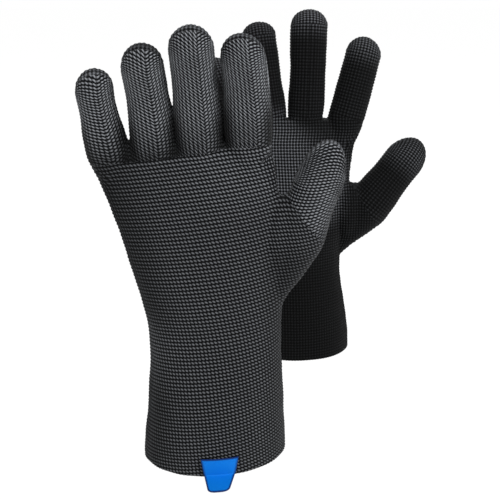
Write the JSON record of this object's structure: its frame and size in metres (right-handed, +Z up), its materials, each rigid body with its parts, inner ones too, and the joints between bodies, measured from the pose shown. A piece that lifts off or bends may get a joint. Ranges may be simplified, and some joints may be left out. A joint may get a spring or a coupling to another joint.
{
  "type": "cryogenic gloves",
  "caption": "Pair of textured neoprene cold-protection gloves with curled fingers and long cuffs, standing upright on their hems.",
  "frame": {"origin": "middle of the pair's outline on the floor", "axes": "+Z up from the hems to the fingertips, -Y the way the right glove's palm faces, +X to the thumbs"},
  "size_m": [0.2498, 0.292, 0.2845],
  "materials": {
    "palm_skin": "textured matte neoprene, charcoal",
    "back_skin": "textured matte neoprene, black",
    "fleece": "brushed knit lining",
    "woven_label": "satin woven ribbon"
  },
  "bodies": {
    "right_hand": {"right_palm_panel": "palm_skin", "right_back_panel": "back_skin", "right_hand_lining": "fleece", "right_label_tab": "woven_label"},
    "right_little": {"right_little_palm": "palm_skin", "right_little_back": "back_skin", "right_little_gusset": "palm_skin", "right_little_lining": "fleece"},
    "right_ring": {"right_ring_palm": "palm_skin", "right_ring_back": "back_skin", "right_ring_gusset": "palm_skin", "right_ring_lining": "fleece"},
    "right_middle": {"right_middle_palm": "palm_skin", "right_middle_back": "back_skin", "right_middle_gusset": "palm_skin", "right_middle_lining": "fleece"},
    "right_index": {"right_index_palm": "palm_skin", "right_index_back": "back_skin", "right_index_gusset": "palm_skin", "right_index_lining": "fleece"},
    "right_thumb": {"right_thumb_palm": "palm_skin", "right_thumb_back": "back_skin", "right_thumb_lining": "fleece"},
    "left_hand": {"left_palm_panel": "palm_skin", "left_back_panel": "back_skin", "left_hand_lining": "fleece", "left_label_tab": "woven_label"},
    "left_little": {"left_little_palm": "palm_skin", "left_little_back": "back_skin", "left_little_gusset": "palm_skin", "left_little_lining": "fleece"},
    "left_ring": {"left_ring_palm": "palm_skin", "left_ring_back": "back_skin", "left_ring_gusset": "palm_skin", "left_ring_lining": "fleece"},
    "left_middle": {"left_middle_palm": "palm_skin", "left_middle_back": "back_skin", "left_middle_gusset": "palm_skin", "left_middle_lining": "fleece"},
    "left_index": {"left_index_palm": "palm_skin", "left_index_back": "back_skin", "left_index_gusset": "palm_skin", "left_index_lining": "fleece"},
    "left_thumb": {"left_thumb_palm": "palm_skin", "left_thumb_back": "back_skin", "left_thumb_lining": "fleece"}
  },
  "joints": [
    {"name": "right_little_knuckle", "type": "hinge", "parent": "right_hand", "child": "right_little", "pos_m": [-0.10552, -0.088, 0.202], "axis": [0.9848, 0, 0.1736], "range_deg": [-15, 45], "stiffness_Nm_per_rad": 0.12},
    {"name": "right_ring_knuckle", "type": "hinge", "parent": "right_hand", "child": "right_ring", "pos_m": [-0.07722, -0.088, 0.206], "axis": [0.9976, 0, 0.0698], "range_deg": [-15, 45], "stiffness_Nm_per_rad": 0.12},
    {"name": "right_middle_knuckle", "type": "hinge", "parent": "right_hand", "child": "right_middle", "pos_m": [-0.04932, -0.088, 0.21], "axis": [0.9986, 0, 0.0523], "range_deg": [-15, 45], "stiffness_Nm_per_rad": 0.12},
    {"name": "right_index_knuckle", "type": "hinge", "parent": "right_hand", "child": "right_index", "pos_m": [-0.01932, -0.088, 0.214], "axis": [0.9994, 0, 0.0349], "range_deg": [-15, 45], "stiffness_Nm_per_rad": 0.12},
    {"name": "right_thumb_knuckle", "type": "hinge", "parent": "right_hand", "child": "right_thumb", "pos_m": [0.00928, -0.088, 0.145], "axis": [0.9336, 0, -0.3584], "range_deg": [-12, 30], "stiffness_Nm_per_rad": 0.12},
    {"name": "left_little_knuckle", "type": "hinge", "parent": "left_hand", "child": "left_little", "pos_m": [-0.03112, 0.088, 0.186], "axis": [-0.9455, 0, -0.3256], "range_deg": [-15, 45], "stiffness_Nm_per_rad": 0.12},
    {"name": "left_ring_knuckle", "type": "hinge", "parent": "left_hand", "child": "left_ring", "pos_m": [-0.00342, 0.088, 0.201], "axis": [-0.989, 0, -0.1478], "range_deg": [-15, 45], "stiffness_Nm_per_rad": 0.12},
    {"name": "left_middle_knuckle", "type": "hinge", "parent": "left_hand", "child": "left_middle", "pos_m": [0.02618, 0.088, 0.202], "axis": [-0.9997, 0, 0.0262], "range_deg": [-15, 45], "stiffness_Nm_per_rad": 0.12},
    {"name": "left_index_knuckle", "type": "hinge", "parent": "left_hand", "child": "left_index", "pos_m": [0.05748, 0.088, 0.192], "axis": [-0.9681, 0, 0.2504], "range_deg": [-15, 45], "stiffness_Nm_per_rad": 0.12},
    {"name": "left_thumb_knuckle", "type": "hinge", "parent": "left_hand", "child": "left_thumb", "pos_m": [0.07638, 0.088, 0.12], "axis": [-0.788, 0, 0.6157], "range_deg": [-12, 30], "stiffness_Nm_per_rad": 0.12},
    {"name": "left_glove_slide", "type": "slide", "parent": "right_hand", "child": "left_hand", "axis": [0, 1, 0], "range_m": [0, 0.12]}
  ]
}
